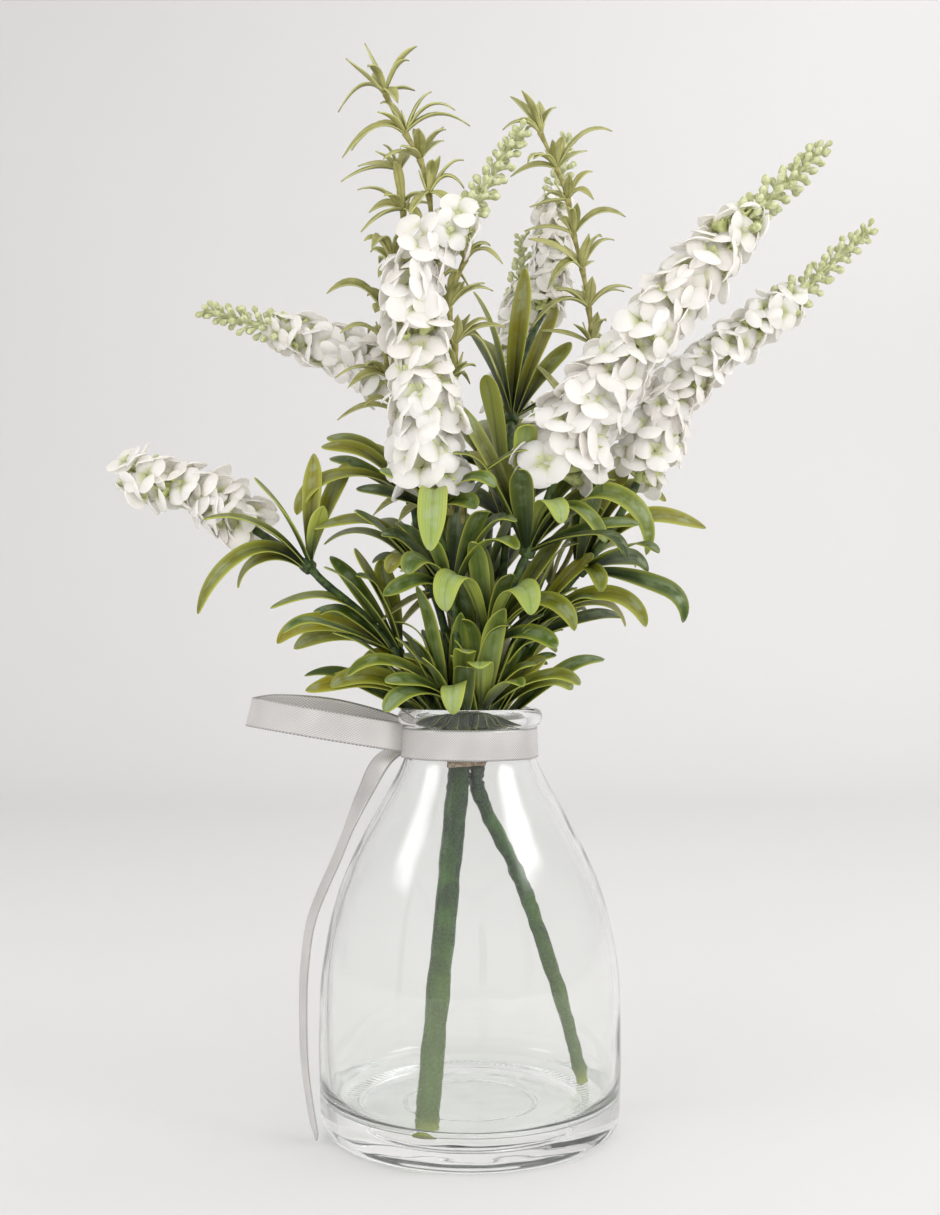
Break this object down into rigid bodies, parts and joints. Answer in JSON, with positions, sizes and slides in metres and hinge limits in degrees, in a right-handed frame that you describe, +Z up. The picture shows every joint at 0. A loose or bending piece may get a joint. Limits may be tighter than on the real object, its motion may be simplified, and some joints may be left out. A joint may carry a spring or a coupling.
{
  "type": "lavender bunch in jar",
  "caption": "Artificial white lavender bush with strap leaves and filler sprigs, tied and standing in a clear bottle-shaped glass jar with a satin ribbon round its neck.",
  "frame": {"origin": "centre of the underside of the jar", "axes": "+Z up along the jar's axis, -Y towards the viewer of the picture, +X to their right"},
  "size_m": [0.2629, 0.143, 0.3652],
  "materials": {
    "clear_glass": "clear, polished",
    "satin": "white satin weave",
    "stem_plastic": "moulded green plastic over wire",
    "tie_tape": "wound tan tape",
    "branch_plastic": "moulded dark green plastic",
    "leaf_plastic": "moulded green plastic with a slight gloss",
    "sprig_plastic": "moulded olive plastic",
    "petal": "thin moulded white plastic",
    "bud_plastic": "moulded pale green plastic"
  },
  "bodies": {
    "root": {"glass_jar": "clear_glass", "glass_jar_top": "clear_glass", "satin_ribbon": "satin", "main_stem": "stem_plastic", "side_stem": "stem_plastic", "stem_tie": "tie_tape", "branch_front": "branch_plastic", "branch_right_high": "branch_plastic", "branch_right_low": "branch_plastic", "branch_left_high": "branch_plastic", "branch_left_low": "branch_plastic", "branch_back": "branch_plastic", "branch_far_back": "branch_plastic", "florets_front": "petal", "florets_right_high": "petal", "florets_right_low": "petal", "florets_left_high": "petal", "florets_left_low": "petal", "florets_back": "petal", "florets_far_back": "petal", "bud_tip_front": "bud_plastic", "bud_tip_right_high": "bud_plastic", "bud_tip_right_low": "bud_plastic", "bud_tip_left_high": "bud_plastic", "bud_tip_left_low": "bud_plastic", "bud_tip_back": "bud_plastic", "bud_tip_far_back": "bud_plastic", "leaf_whorl_front_1": "leaf_plastic", "leaf_whorl_front_2": "leaf_plastic", "leaf_whorl_front_3": "leaf_plastic", "leaf_whorl_right_high_1": "leaf_plastic", "leaf_whorl_right_high_2": "leaf_plastic", "leaf_whorl_right_high_3": "leaf_plastic", "leaf_whorl_right_low_1": "leaf_plastic", "leaf_whorl_right_low_2": "leaf_plastic", "leaf_whorl_right_low_3": "leaf_plastic", "leaf_whorl_left_high_1": "leaf_plastic", "leaf_whorl_left_high_2": "leaf_plastic", "leaf_whorl_left_high_3": "leaf_plastic", "leaf_whorl_left_low_1": "leaf_plastic", "leaf_whorl_left_low_2": "leaf_plastic", "leaf_whorl_left_low_3": "leaf_plastic", "leaf_whorl_back_1": "leaf_plastic", "leaf_whorl_back_2": "leaf_plastic", "leaf_whorl_back_3": "leaf_plastic", "leaf_whorl_far_back_1": "leaf_plastic", "leaf_whorl_far_back_2": "leaf_plastic", "sprig_left_tall": "sprig_plastic", "sprig_left_short": "sprig_plastic", "sprig_centre": "sprig_plastic", "sprig_right_tall": "sprig_plastic"}
  },
  "joints": []
}
